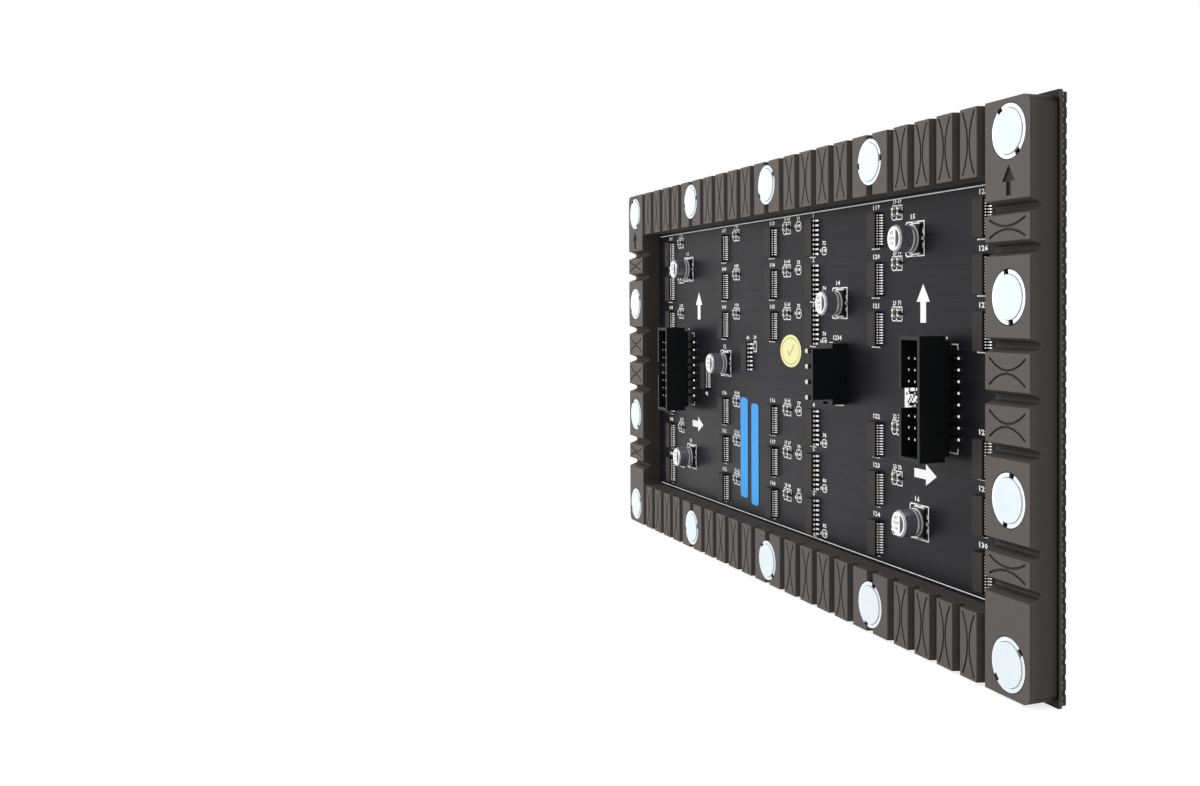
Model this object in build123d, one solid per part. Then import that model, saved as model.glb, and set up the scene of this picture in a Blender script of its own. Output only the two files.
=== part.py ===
from build123d import *
import os

os.makedirs("parts", exist_ok=True)

# Flexible light-emitting display module, seen standing on its long edge.
# X runs along the long side, Z is up, the lamps face -Y and the magnets face +Y.
# The origin is the centre of the module on the plane of the magnet faces.

# Pixels and board
pixel_pitch = 3.0
pixel_columns = 80
pixel_rows = 40
board_length = pixel_pitch * pixel_columns
board_height = pixel_pitch * pixel_rows
board_thickness = 0.6
board_corner = 0.4
package_size = 2.1
package_height = 1.3

# Moulded silicone frame
frame_depth = 6.45
frame_side_inset = 0.84
frame_edge_inset = 0.97
frame_length = board_length - 2 * frame_side_inset
frame_height = board_height - 2 * frame_edge_inset
opening_length = 209.1
opening_height = 89.3
frame_corner = 2.0
opening_corner = 1.2
long_bar_width = (frame_height - opening_height) / 2
short_bar_width = (frame_length - opening_length) / 2
long_bar_z = (frame_height + opening_height) / 4
short_bar_x = (frame_length + opening_length) / 4

# Clearance by which a cutting tool stands out of the face that it cuts
tool_lift = 0.5

# Flex notches across the bars: a V with a blunt root
notch_mouth = 3.0
notch_depth = 2.8
notch_root_half = 0.55
notch_root_rise = 0.3
notch_margin = 1.0
inner_notch_pitch = 9.6
inner_notch_count = 7
outer_notch_pitch = 8.95
outer_notch_count = 4
outer_notch_start = 76.15
short_bar_notches = [-37.7, -29.6, -10.5, 0.0, 10.5, 29.6, 37.7]

# Shallow paired arcs on the ribs between the notches
groove_width = 0.5
groove_depth = 0.3
groove_waist = 0.3
groove_flare = 2.1
groove_half_run = 6.55
groove_runs = 6
side_groove_flare = 1.85
side_groove_half_run = 5.95
wide_side_groove_flare = 2.7
groove_magnet_gap = 2.0

# Up arrow sunk in the two upper corner blocks
arrow_tip_z = 46.0
arrow_barb_z = 42.7
arrow_tail_z = 39.9
arrow_half_span = 2.1
arrow_half_shaft = 0.75
arrow_depth = 0.45

# Round holding magnets in plated cups
magnet_proud = 0.2
cup_radius = 5.45
cup_floor = 0.8
cup_bore_radius = 4.62
disc_radius = 4.5
pocket_clearance = 0.2
pocket_depth = 3.0
rim_slot_width = 1.5
rim_slot_depth = 1.0
magnet_x_outer = 112.3
magnet_x_inner = 57.6
magnet_z_edge = 52.5
magnet_z_side = 20.0

# Depth stations, from the magnet faces towards the lamps
frame_back = -magnet_proud
board_rear = frame_back - frame_depth
board_front = board_rear - board_thickness
pocket_floor = frame_back - pocket_depth

# Driver chips in narrow packages, in columns
chip_width = 3.9
chip_length = 8.65
chip_height = 1.6
chip_draft = 7.0
row_chip_length = 9.9

# Places on the board, as shares of half the opening's length and height
driver_column_shares = [0.8857, 0.4338, 0.0937, -0.4763, -0.9053]
upper_row_shares = [0.8287, 0.5599, 0.2912]
lower_row_shares = [-0.3135, -0.5823, -0.8511]
row_chip_share = -0.153
logic_chip_shares = (0.2582, 0.0817)
decoder_chip_shares = (0.5739, -0.0829)
capacitor_shares = [
    (0.7241, 0.7033),
    (0.4218, 0.0224),
    (0.703, -0.7033),
    (-0.2965, 0.4334),
    (-0.6456, 0.7604),
    (-0.6628, -0.7033),
]
header_left_share = 0.726
header_right_share = -0.77
header_rise_share = -0.0437
power_near_share = -0.3329
power_rise_share = 0.0267
oval_label_shares = (-0.022, 0.1377)
strip_left_shares = (0.286, -0.5398)
strip_right_shares = (0.2104, -0.5689)

# Small passive parts
passive_width = 0.8
passive_length = 1.6
passive_height = 0.8
driver_capacitor_shift = -8.7
driver_resistor_shift = -11.2
driver_passive_rise = 3.85
crowded_passive_gap = 0.8
row_capacitor_left_shift = 8.8
row_capacitor_left_rise = 3.75
row_capacitor_right_shift = -6.4
row_capacitor_right_rise = -3.7
logic_capacitor_shift = -5.3
logic_capacitor_rise = 3.25

# Round capacitors on square bases
can_radius = 3.15
can_total_height = 5.7
can_groove_low = 1.9
can_groove_high = 2.5
can_groove_depth = 0.22
can_edge = 0.35
base_size = 6.6
base_height = 1.0
base_chamfer = 1.4

# Box headers, two columns of eight posts that hold the shroud off the board
header_width = 8.5
header_length = 27.6
header_height = 9.6
header_wall = 0.9
header_standoff = 1.9
header_floor = 3.9
header_foot_height = 3.1
header_foot_cut = 1.2
header_slot_width = 4.4
header_slot_bottom = 4.6
header_pitch = 2.54
header_rows = 8
post_size = 0.64
post_top = 8.85
foot_reach = 5.4
foot_thickness = 0.5

# Power connector: base block, latch wall and four square posts
power_wall = 0.85
power_wall_height = 9.85
power_wall_length = 12.95
power_wall_shift = 0.09
power_base_length = 15.6
power_base_depth = 8.2
power_base_height = 4.2
power_pin_pitch = 3.96
power_pin_count = 4
power_pin_inset = 3.8
power_pin_size = 1.14
power_pin_top = 9.9
power_pin_point = 0.3

# Adhesive labels
label_thickness = 0.12
oval_label_length = 13.1
oval_label_height = 9.1
strip_corner = 1.2
strip_length = 30.3
strip_left_width = 5.4
strip_right_width = 5.1


# A share of half the opening's length, and of half its height
def along(share):
    return share * opening_length / 2


def up(share):
    return share * opening_height / 2


driver_columns = [along(share) for share in driver_column_shares]
upper_rows = [up(share) for share in upper_row_shares]
lower_rows = [up(share) for share in lower_row_shares]
row_chip_x = along(row_chip_share)
header_z = up(header_rise_share)
power_x_near = along(power_near_share)
power_z = up(power_rise_share)


# A block over X and Z that starts at a depth and rises towards the rear
def block(x, z, size_x, size_z, low, high):
    middle = (low + high) / 2
    return Pos(x, middle, z) * Box(size_x, high - low, size_z)


# A round post with its axis along Y
def post(x, z, radius, low, high):
    middle = (low + high) / 2
    return Pos(x, middle, z) * Rot(90, 0, 0) * Cylinder(radius, high - low)


# A profile drawn in X and Z, raised from one depth to another
def raised(profile, low, high):
    return extrude(Plane.XZ.offset(-low) * profile, amount=low - high)


# One node's file, from one solid or a group of separate solids
def save(name, solids):
    if len(solids) == 1:
        export_step(solids[0], "parts/" + name + ".step")
    else:
        export_step(Compound(children=solids), "parts/" + name + ".step")
    print(name, len(solids))


# The notch runs along Z at the origin, with its mouth in the frame's back face
def flex_notch(run):
    half_mouth = notch_mouth / 2
    slope = (half_mouth - notch_root_half) / (notch_depth - notch_root_rise)
    half_lifted = half_mouth + slope * tool_lift
    outline = Polyline(
        (-half_lifted, frame_back + tool_lift),
        (-notch_root_half, frame_back - notch_depth + notch_root_rise),
        (0, frame_back - notch_depth),
        (notch_root_half, frame_back - notch_depth + notch_root_rise),
        (half_lifted, frame_back + tool_lift),
        close=True,
    )
    tool = extrude(make_face(outline), amount=run / 2, both=True)
    return Part(tool.wrapped)


# Two bows back to back, bulging towards each other, running along Y of the sketch.
# Each bow is a parabola in straight runs, drawn with a pen of the groove's width.
def bow_pair(half_run, flare, waist):
    points = []
    for step in range(groove_runs + 1):
        share = 2 * step / groove_runs - 1
        points.append((waist + (flare - waist) * share ** 2, share * half_run))
    left = trace(Polyline(*points), line_width=groove_width)
    right = trace(Polyline(*[(-x, y) for x, y in points]), line_width=groove_width)
    return [right, left]


def groove_tools():
    tools = []
    rib_edges = []
    for index in range(inner_notch_count + 1):
        rib_edges.append(index * inner_notch_pitch)
    for index in range(outer_notch_count):
        rib_edges.append(outer_notch_start + index * outer_notch_pitch)
    centres = []
    for low, high in zip(rib_edges, rib_edges[1:]):
        centres.append((low + high) / 2)
    clear_of_magnet = cup_radius + groove_flare + groove_magnet_gap
    for side in (-1, 1):
        for centre in centres:
            if centre < clear_of_magnet:
                continue
            if abs(centre - magnet_x_inner) < clear_of_magnet:
                continue
            for edge in (-1, 1):
                for bow in bow_pair(groove_half_run, groove_flare, groove_waist):
                    placed = Pos(side * centre, edge * long_bar_z) * bow
                    tools.append(raised(placed, frame_back - groove_depth, frame_back + tool_lift))
    narrow_z = (short_bar_notches[5] + short_bar_notches[6]) / 2
    wide_z = (short_bar_notches[3] + short_bar_notches[4]) / 2
    for side in (-1, 1):
        for edge in (-1, 1):
            for centre, flare in ((narrow_z, side_groove_flare), (wide_z, wide_side_groove_flare)):
                for bow in bow_pair(side_groove_half_run, flare, groove_waist):
                    turned = Rot(0, 0, 90) * bow
                    placed = Pos(side * short_bar_x, edge * centre) * turned
                    tools.append(raised(placed, frame_back - groove_depth, frame_back + tool_lift))
    return tools


def arrow_tool(x):
    outline = Polyline(
        (x, arrow_tip_z),
        (x - arrow_half_span, arrow_barb_z),
        (x - arrow_half_shaft, arrow_barb_z),
        (x - arrow_half_shaft, arrow_tail_z),
        (x + arrow_half_shaft, arrow_tail_z),
        (x + arrow_half_shaft, arrow_barb_z),
        (x + arrow_half_span, arrow_barb_z),
        close=True,
    )
    return raised(make_face(outline), frame_back - arrow_depth, frame_back + tool_lift)


def notch_tools():
    tools = []
    long_tool = flex_notch(long_bar_width + 2 * notch_margin)
    short_tool = Rot(0, 90, 0) * flex_notch(short_bar_width + 2 * notch_margin)
    stations = [0.0]
    for index in range(1, inner_notch_count + 1):
        stations.append(index * inner_notch_pitch)
    for index in range(outer_notch_count):
        stations.append(outer_notch_start + index * outer_notch_pitch)
    places = sorted(set(stations + [-station for station in stations]))
    for edge in (-1, 1):
        for place in places:
            tools.append(Pos(place, 0, edge * long_bar_z) * long_tool)
    for side in (-1, 1):
        for place in short_bar_notches:
            tools.append(Pos(side * short_bar_x, 0, place) * short_tool)
    return tools


magnet_places = []
for magnet_z in (magnet_z_edge, -magnet_z_edge):
    for magnet_x in (magnet_x_outer, magnet_x_inner, 0.0, -magnet_x_inner, -magnet_x_outer):
        magnet_places.append((magnet_x, magnet_z))
for magnet_z in (magnet_z_side, -magnet_z_side):
    for magnet_x in (magnet_x_outer, -magnet_x_outer):
        magnet_places.append((magnet_x, magnet_z))

# The cups are screwed in by their rim slots, so each stops at its own angle
slot_angles = [57, 170, 149, 174, 56, 156, 167, 48, 110, 139, 155, 81, 56, 102]


def pocket_tools():
    tools = []
    for x, z in magnet_places:
        tools.append(post(x, z, cup_radius + pocket_clearance, pocket_floor, frame_back + tool_lift))
    return tools


outer_outline = RectangleRounded(frame_length, frame_height, frame_corner)
inner_outline = RectangleRounded(opening_length, opening_height, opening_corner)
frame = raised(outer_outline - inner_outline, board_rear, frame_back)
frame = frame.cut(*notch_tools())
frame = frame.cut(*pocket_tools())
surface_tools = groove_tools()
surface_tools.append(arrow_tool(magnet_x_outer))
surface_tools.append(arrow_tool(-magnet_x_outer))
frame = frame.cut(*surface_tools)
save("rubber_frame", [frame])

board_outline = RectangleRounded(board_length, board_height, board_corner)
save("circuit_board", [raised(board_outline, board_front, board_rear)])

# Each row of lamp packages is one bar, standing for the packages side by side
row_span = pixel_pitch * (pixel_columns - 1) + package_size
lamp_rows = []
for row in range(pixel_rows):
    row_z = (row - (pixel_rows - 1) / 2) * pixel_pitch
    lamp_rows.append(block(0, row_z, row_span, package_size, board_front - package_height, board_front))
save("led_rows", lamp_rows)


# A plated cup with two opposite slots in its rim
def magnet_cup(x, z, angle):
    cup = post(0, 0, cup_radius, pocket_floor, frame_back)
    cup -= post(0, 0, cup_bore_radius, pocket_floor + cup_floor, frame_back + tool_lift)
    slot_length = 2 * (cup_radius + tool_lift)
    slot = block(0, 0, slot_length, rim_slot_width, frame_back - rim_slot_depth, frame_back + tool_lift)
    cup -= Rot(0, -angle, 0) * slot
    return Pos(x, 0, z) * cup


def magnet_disc(x, z):
    return post(x, z, disc_radius, pocket_floor + cup_floor, 0)


magnet_cups = []
for number, place in enumerate(magnet_places):
    magnet_cups.append(magnet_cup(place[0], place[1], slot_angles[number]))
save("magnet_cups_upper_edge", magnet_cups[:5])
save("magnet_cups_lower_edge", magnet_cups[5:10])
save("magnet_cups_sides", magnet_cups[10:])
save("magnet_discs_upper_edge", [magnet_disc(x, z) for x, z in magnet_places[:5]])
save("magnet_discs_lower_edge", [magnet_disc(x, z) for x, z in magnet_places[5:10]])
save("magnet_discs_sides", [magnet_disc(x, z) for x, z in magnet_places[10:]])


# A moulded chip body with drafted flanks above and below its leg line
def chip_body(x, z, length):
    outline = Pos(x, z) * Rectangle(chip_width, length)
    leg_line = board_rear + chip_height / 2
    upper = extrude(Plane.XZ.offset(-leg_line) * outline, amount=-chip_height / 2, taper=chip_draft)
    lower = extrude(Plane.XZ.offset(-leg_line) * outline, amount=chip_height / 2, taper=chip_draft)
    return upper + lower


for number, column in enumerate(driver_columns):
    for half, rows in (("upper", upper_rows), ("lower", lower_rows)):
        bodies = [chip_body(column, z, chip_length) for z in rows]
        save("driver_chips_" + str(number + 1) + "_" + half, bodies)
save("row_chips_upper", [chip_body(row_chip_x, z, row_chip_length) for z in upper_rows])
save("row_chips_lower", [chip_body(row_chip_x, z, row_chip_length) for z in lower_rows])
logic_chip_x = along(logic_chip_shares[0])
logic_chip_z = up(logic_chip_shares[1])
save("logic_chip", [chip_body(logic_chip_x, logic_chip_z, chip_length)])
decoder_chip_x = along(decoder_chip_shares[0])
decoder_chip_z = up(decoder_chip_shares[1])
save("decoder_chip", [chip_body(decoder_chip_x, decoder_chip_z, chip_length)])


def passive(x, z):
    return block(x, z, passive_width, passive_length, board_rear, board_rear + passive_height)


def lying_passive(x, z):
    return block(x, z, passive_length, passive_width, board_rear, board_rear + passive_height)


# The pair beside the left header sits just below the header's lowest foot
lowest_foot = header_z - (header_rows - 1) / 2 * header_pitch - post_size / 2
crowded_z = lowest_foot - crowded_passive_gap - passive_length / 2

small_capacitors = []
small_resistors = []
for column in driver_columns[:-1]:
    for row in upper_rows + lower_rows:
        z = row + driver_passive_rise
        if column == driver_columns[0] and row == lower_rows[0]:
            z = crowded_z
        small_capacitors.append(passive(column + driver_capacitor_shift, z))
        small_resistors.append(passive(column + driver_resistor_shift, z))
for row in upper_rows + lower_rows:
    left_x = row_chip_x + row_capacitor_left_shift
    right_x = row_chip_x + row_capacitor_right_shift
    small_capacitors.append(lying_passive(left_x, row + row_capacitor_left_rise))
    small_capacitors.append(lying_passive(right_x, row + row_capacitor_right_rise))
logic_capacitor_x = logic_chip_x + logic_capacitor_shift
logic_capacitor_z = logic_chip_z + logic_capacitor_rise
small_capacitors.append(passive(logic_capacitor_x, logic_capacitor_z))
save("small_capacitors", small_capacitors)
save("small_resistors", small_resistors)


# A rolled aluminium can: one turned profile with the crimp groove and a round top edge
def capacitor_can(x, z):
    profile = make_face(Polyline(
        (0, base_height),
        (can_radius, base_height),
        (can_radius, can_groove_low),
        (can_radius - can_groove_depth, (can_groove_low + can_groove_high) / 2),
        (can_radius, can_groove_high),
        (can_radius, can_total_height - can_edge),
        (can_radius - can_edge, can_total_height),
        (0, can_total_height),
        close=True,
    ))
    can = revolve(profile, Axis.Y)
    return Pos(x, board_rear, z) * can


def capacitor_base(x, z):
    plate = block(x, z, base_size, base_size, board_rear, board_rear + base_height)
    corners = plate.edges().filter_by(Axis.Y).group_by(Axis.X)[-1]
    return chamfer(corners, base_chamfer)


capacitor_places = [(along(share_x), up(share_z)) for share_x, share_z in capacitor_shares]
save("capacitor_cans_left", [capacitor_can(x, z) for x, z in capacitor_places[:3]])
save("capacitor_cans_right", [capacitor_can(x, z) for x, z in capacitor_places[3:]])
save("capacitor_bases_left", [capacitor_base(x, z) for x, z in capacitor_places[:3]])
save("capacitor_bases_right", [capacitor_base(x, z) for x, z in capacitor_places[3:]])


# A bent post: it stands in the header's floor and its foot runs out over the board
def header_post(x, z, side):
    post_x = x + side * header_pitch / 2
    upright = block(post_x, z, post_size, post_size, board_rear, board_rear + post_top)
    foot_end = x + side * foot_reach
    foot_start = post_x
    foot_middle = (foot_start + foot_end) / 2
    foot_size = abs(foot_end - foot_start)
    foot = block(foot_middle, z, foot_size, post_size, board_rear, board_rear + foot_thickness)
    return upright + foot


def header_posts(x):
    posts = []
    for row in range(header_rows):
        z = header_z + (row - (header_rows - 1) / 2) * header_pitch
        for side in (-1, 1):
            posts.append(header_post(x, z, side))
    return posts


def header_shroud(x, posts):
    foot_low = board_rear + header_standoff
    foot_top = board_rear + header_foot_height
    top = board_rear + header_height
    shroud = block(x, header_z, header_width, header_length, foot_top, top)
    shroud += block(x, header_z, header_width, header_length - 2 * header_foot_cut, foot_low, foot_top)
    inner_width = header_width - 2 * header_wall
    inner_length = header_length - 2 * header_wall
    shroud -= block(x, header_z, inner_width, inner_length, board_rear + header_floor, top + tool_lift)
    slot_x = x + header_width / 2
    slot_low = board_rear + header_slot_bottom
    shroud -= block(slot_x, header_z, 2 * header_wall, header_slot_width, slot_low, top + tool_lift)
    return shroud.cut(*posts)


for name, share in (("left", header_left_share), ("right", header_right_share)):
    x = along(share)
    posts = header_posts(x)
    save("header_pins_" + name, posts)
    save("header_shroud_" + name, [header_shroud(x, posts)])


power_pin_x = power_x_near + power_pin_inset


def power_pin(z):
    pin = block(power_pin_x, z, power_pin_size, power_pin_size, board_rear, board_rear + power_pin_top)
    return chamfer(pin.edges().group_by(Axis.Y)[-1], power_pin_point)


power_pins = []
for number in range(power_pin_count):
    offset = (number - (power_pin_count - 1) / 2) * power_pin_pitch
    power_pins.append(power_pin(power_z + offset))
save("power_pins", power_pins)

power_base_x = power_x_near + power_base_depth / 2
power_housing = block(
    power_base_x,
    power_z,
    power_base_depth,
    power_base_length,
    board_rear,
    board_rear + power_base_height,
)
power_housing += block(
    power_x_near + power_wall / 2,
    power_z + power_wall_shift,
    power_wall,
    power_wall_length,
    board_rear,
    board_rear + power_wall_height,
)
save("power_housing", [power_housing.cut(*power_pins)])

oval_place = Pos(along(oval_label_shares[0]), up(oval_label_shares[1]))
oval = oval_place * Ellipse(oval_label_length / 2, oval_label_height / 2)
save("oval_label", [raised(oval, board_rear, board_rear + label_thickness)])
strips = (
    ("label_strip_left", strip_left_shares, strip_left_width),
    ("label_strip_right", strip_right_shares, strip_right_width),
)
for name, shares, width in strips:
    strip = Pos(along(shares[0]), up(shares[1])) * RectangleRounded(width, strip_length, strip_corner)
    save(name, [raised(strip, board_rear, board_rear + label_thickness)])
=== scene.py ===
import math
import random

import bmesh
import bpy
from mathutils import Matrix, Vector


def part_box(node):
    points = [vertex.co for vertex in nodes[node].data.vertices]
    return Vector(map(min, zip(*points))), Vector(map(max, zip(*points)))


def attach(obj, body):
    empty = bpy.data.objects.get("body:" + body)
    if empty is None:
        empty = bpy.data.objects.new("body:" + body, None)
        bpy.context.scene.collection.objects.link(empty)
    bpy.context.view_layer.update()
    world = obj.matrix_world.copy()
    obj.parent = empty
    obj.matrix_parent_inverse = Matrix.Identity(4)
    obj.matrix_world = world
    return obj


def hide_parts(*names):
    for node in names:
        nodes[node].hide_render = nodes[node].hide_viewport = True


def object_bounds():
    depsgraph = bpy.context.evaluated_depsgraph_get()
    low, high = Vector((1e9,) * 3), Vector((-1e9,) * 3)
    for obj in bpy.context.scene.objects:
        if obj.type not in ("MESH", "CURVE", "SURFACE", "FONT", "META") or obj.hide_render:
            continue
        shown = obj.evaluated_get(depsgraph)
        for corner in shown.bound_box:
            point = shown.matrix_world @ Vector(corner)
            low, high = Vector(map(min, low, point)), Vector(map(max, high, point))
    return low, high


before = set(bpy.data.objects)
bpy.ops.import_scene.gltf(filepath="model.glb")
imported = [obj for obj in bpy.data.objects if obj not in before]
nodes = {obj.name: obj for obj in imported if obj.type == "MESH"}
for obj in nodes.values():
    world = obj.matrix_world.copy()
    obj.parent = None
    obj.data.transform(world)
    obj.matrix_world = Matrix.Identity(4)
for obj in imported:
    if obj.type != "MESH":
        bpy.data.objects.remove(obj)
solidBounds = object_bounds()
mm = 0.001
boardLow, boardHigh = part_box("circuit_board")
rearY = boardHigh.y  # the side that carries the chips
frontY = boardLow.y  # the side that carries the lamps
print("frame loaded:", len(nodes), "nodes")


# A screen colour from 0 to 255 as a linear one
def toLinear(red, green, blue):
    def channel(value):
        value = value / 255
        return value / 12.92 if value <= 0.04045 else ((value + 0.055) / 1.055) ** 2.4
    return (channel(red), channel(green), channel(blue), 1.0)


def addToScene(name, data):
    item = bpy.data.objects.new(name, data)
    bpy.context.scene.collection.objects.link(item)
    return item


# A node tree with its sockets, and what its builder needs: tree, add, link and both end nodes
def newGroup(name, treeKind, inputs, outputs):
    group = bpy.data.node_groups.new(name, treeKind)
    for direction, sockets in (("INPUT", inputs), ("OUTPUT", outputs)):
        for socketName, kind in sockets.items():
            group.interface.new_socket(socketName, in_out=direction, socket_type="NodeSocket" + kind)
    add = group.nodes.new
    return group, add, group.links.new, add("NodeGroupInput"), add("NodeGroupOutput")


def mathNode(add, operation, second=None):
    node = add("ShaderNodeMath")
    node.operation = operation
    if second is not None:
        node.inputs[1].default_value = second
    return node


def vectorNode(add, operation):
    node = add("ShaderNodeVectorMath")
    node.operation = operation
    return node


def colourMix(add):
    node = add("ShaderNodeMix")
    node.data_type = "RGBA"
    return node


grainMix = dict(grainDetail=3.0, mottleDetail=4.0, grainShare=0.45, mottleShare=0.55, bumpDistance=0.00005)
traceMix = dict(stretch=(0.012, 0.01, 1.0), detail=2.0, low=0.52, high=0.6)


# Fine grain: two noises that vary colour, roughness and height over the surface
def buildGrainGroup():
    inputs = {"Dark Colour": "Color", "Light Colour": "Color", "Grain Scale": "Float",
              "Mottle Scale": "Float", "Smooth": "Float", "Rough": "Float", "Bump": "Float"}
    outputs = {"Colour": "Color", "Roughness": "Float", "Normal": "Vector"}
    group, add, link, start, end = newGroup("fineGrain", "ShaderNodeTree", inputs, outputs)
    place = add("ShaderNodeTexCoord")
    grain = add("ShaderNodeTexNoise")
    grain.inputs["Detail"].default_value = grainMix["grainDetail"]
    mottle = add("ShaderNodeTexNoise")
    mottle.inputs["Detail"].default_value = grainMix["mottleDetail"]
    blend = mathNode(add, "MULTIPLY_ADD", grainMix["grainShare"])
    half = mathNode(add, "MULTIPLY", grainMix["mottleShare"])
    paint = colourMix(add)
    spread = add("ShaderNodeMapRange")
    height = add("ShaderNodeBump")
    height.inputs["Distance"].default_value = grainMix["bumpDistance"]
    link(place.outputs["Object"], grain.inputs["Vector"])
    link(place.outputs["Object"], mottle.inputs["Vector"])
    link(start.outputs["Grain Scale"], grain.inputs["Scale"])
    link(start.outputs["Mottle Scale"], mottle.inputs["Scale"])
    link(mottle.outputs["Fac"], half.inputs[0])
    link(grain.outputs["Fac"], blend.inputs[0])
    link(half.outputs[0], blend.inputs[2])
    link(blend.outputs[0], paint.inputs[0])
    link(start.outputs["Dark Colour"], paint.inputs[6])
    link(start.outputs["Light Colour"], paint.inputs[7])
    link(mottle.outputs["Fac"], spread.inputs["Value"])
    link(start.outputs["Smooth"], spread.inputs["To Min"])
    link(start.outputs["Rough"], spread.inputs["To Max"])
    link(grain.outputs["Fac"], height.inputs["Height"])
    link(start.outputs["Bump"], height.inputs["Strength"])
    link(paint.outputs[2], end.inputs["Colour"])
    link(spread.outputs[0], end.inputs["Roughness"])
    link(height.outputs["Normal"], end.inputs["Normal"])
    return group


# Painted shade: darkens a colour below a start depth, more so inside the frame's bars, and on floors at one
# exact depth, standing in for the shade in recesses, notches, slots and groove floors
def buildPaintedShadeGroup():
    inputs = {"Colour": "Color", "Start": "Float", "Reach": "Float", "Deep Amount": "Float",
              "Bar Amount": "Float", "Outer Half": "Vector", "Inner Half": "Vector",
              "First Floor": "Float", "Second Floor": "Float", "Floor Amount": "Float"}
    outputs = {"Colour": "Color"}
    group, add, link, start, end = newGroup("paintedDepthShade", "ShaderNodeTree", inputs, outputs)
    place = add("ShaderNodeTexCoord")
    split = add("ShaderNodeSeparateXYZ")
    depth = mathNode(add, "MULTIPLY", -1.0)
    past = mathNode(add, "SUBTRACT")
    share = mathNode(add, "DIVIDE")
    share.use_clamp = True
    paintedDeepShade = mathNode(add, "MULTIPLY")
    mirrored = vectorNode(add, "ABSOLUTE")
    link(place.outputs["Object"], mirrored.inputs[0])

    # 1 where both X and Z are smaller than the half size, else 0
    def withinHalf(inputName):
        room = vectorNode(add, "SUBTRACT")
        sides = add("ShaderNodeSeparateXYZ")
        least = mathNode(add, "MINIMUM")
        inside = mathNode(add, "GREATER_THAN", 0.0)
        link(start.outputs[inputName], room.inputs[0])
        link(mirrored.outputs[0], room.inputs[1])
        link(room.outputs[0], sides.inputs[0])
        link(sides.outputs["X"], least.inputs[0])
        link(sides.outputs["Z"], least.inputs[1])
        link(least.outputs[0], inside.inputs[0])
        return inside

    inBars = mathNode(add, "SUBTRACT")
    link(withinHalf("Outer Half").outputs[0], inBars.inputs[0])
    link(withinHalf("Inner Half").outputs[0], inBars.inputs[1])
    amountHere = add("ShaderNodeMix")
    link(inBars.outputs[0], amountHere.inputs[0])
    link(start.outputs["Deep Amount"], amountHere.inputs[2])
    link(start.outputs["Bar Amount"], amountHere.inputs[3])
    link(place.outputs["Object"], split.inputs[0])
    link(split.outputs["Y"], depth.inputs[0])
    link(depth.outputs[0], past.inputs[0])
    link(start.outputs["Start"], past.inputs[1])
    link(past.outputs[0], share.inputs[0])
    link(start.outputs["Reach"], share.inputs[1])
    link(share.outputs[0], paintedDeepShade.inputs[0])
    link(amountHere.outputs[0], paintedDeepShade.inputs[1])
    level = paintedDeepShade
    for floorName in ("First Floor", "Second Floor"):
        same = mathNode(add, "COMPARE")
        same.inputs[2].default_value = 0.00002
        amount = mathNode(add, "MULTIPLY")
        most = mathNode(add, "MAXIMUM")
        link(depth.outputs[0], same.inputs[0])
        link(start.outputs[floorName], same.inputs[1])
        link(same.outputs[0], amount.inputs[0])
        link(start.outputs["Floor Amount"], amount.inputs[1])
        link(level.outputs[0], most.inputs[0])
        link(amount.outputs[0], most.inputs[1])
        level = most
    shade = colourMix(add)
    shade.inputs[7].default_value = (0, 0, 0, 1)
    link(level.outputs[0], shade.inputs[0])
    link(start.outputs["Colour"], shade.inputs[6])
    link(shade.outputs[2], end.inputs["Colour"])
    return group


# Faint raised traces that run along X under the solder mask
def buildTraceGroup():
    inputs = {"Colour": "Color", "Trace Colour": "Color", "Edge Colour": "Color",
              "Spacing Scale": "Float", "Edge X": "Float"}
    outputs = {"Colour": "Color"}
    group, add, link, start, end = newGroup("boardTraces", "ShaderNodeTree", inputs, outputs)
    place = add("ShaderNodeTexCoord")
    stretch = add("ShaderNodeMapping")
    stretch.inputs["Scale"].default_value = traceMix["stretch"]
    noise = add("ShaderNodeTexNoise")
    noise.inputs["Detail"].default_value = traceMix["detail"]
    sharpen = add("ShaderNodeMapRange")
    sharpen.inputs["From Min"].default_value = traceMix["low"]
    sharpen.inputs["From Max"].default_value = traceMix["high"]
    paint = colourMix(add)
    split = add("ShaderNodeSeparateXYZ")
    across = mathNode(add, "ABSOLUTE")
    beyond = mathNode(add, "GREATER_THAN")
    edge = colourMix(add)
    link(place.outputs["Object"], stretch.inputs["Vector"])
    link(stretch.outputs[0], noise.inputs["Vector"])
    link(start.outputs["Spacing Scale"], noise.inputs["Scale"])
    link(noise.outputs["Fac"], sharpen.inputs["Value"])
    link(sharpen.outputs[0], paint.inputs[0])
    link(start.outputs["Colour"], paint.inputs[6])
    link(start.outputs["Trace Colour"], paint.inputs[7])
    link(place.outputs["Object"], split.inputs[0])
    link(split.outputs["X"], across.inputs[0])
    link(across.outputs[0], beyond.inputs[0])
    link(start.outputs["Edge X"], beyond.inputs[1])
    link(beyond.outputs[0], edge.inputs[0])
    link(paint.outputs[2], edge.inputs[6])
    link(start.outputs["Edge Colour"], edge.inputs[7])
    link(edge.outputs[2], end.inputs["Colour"])
    return group
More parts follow.
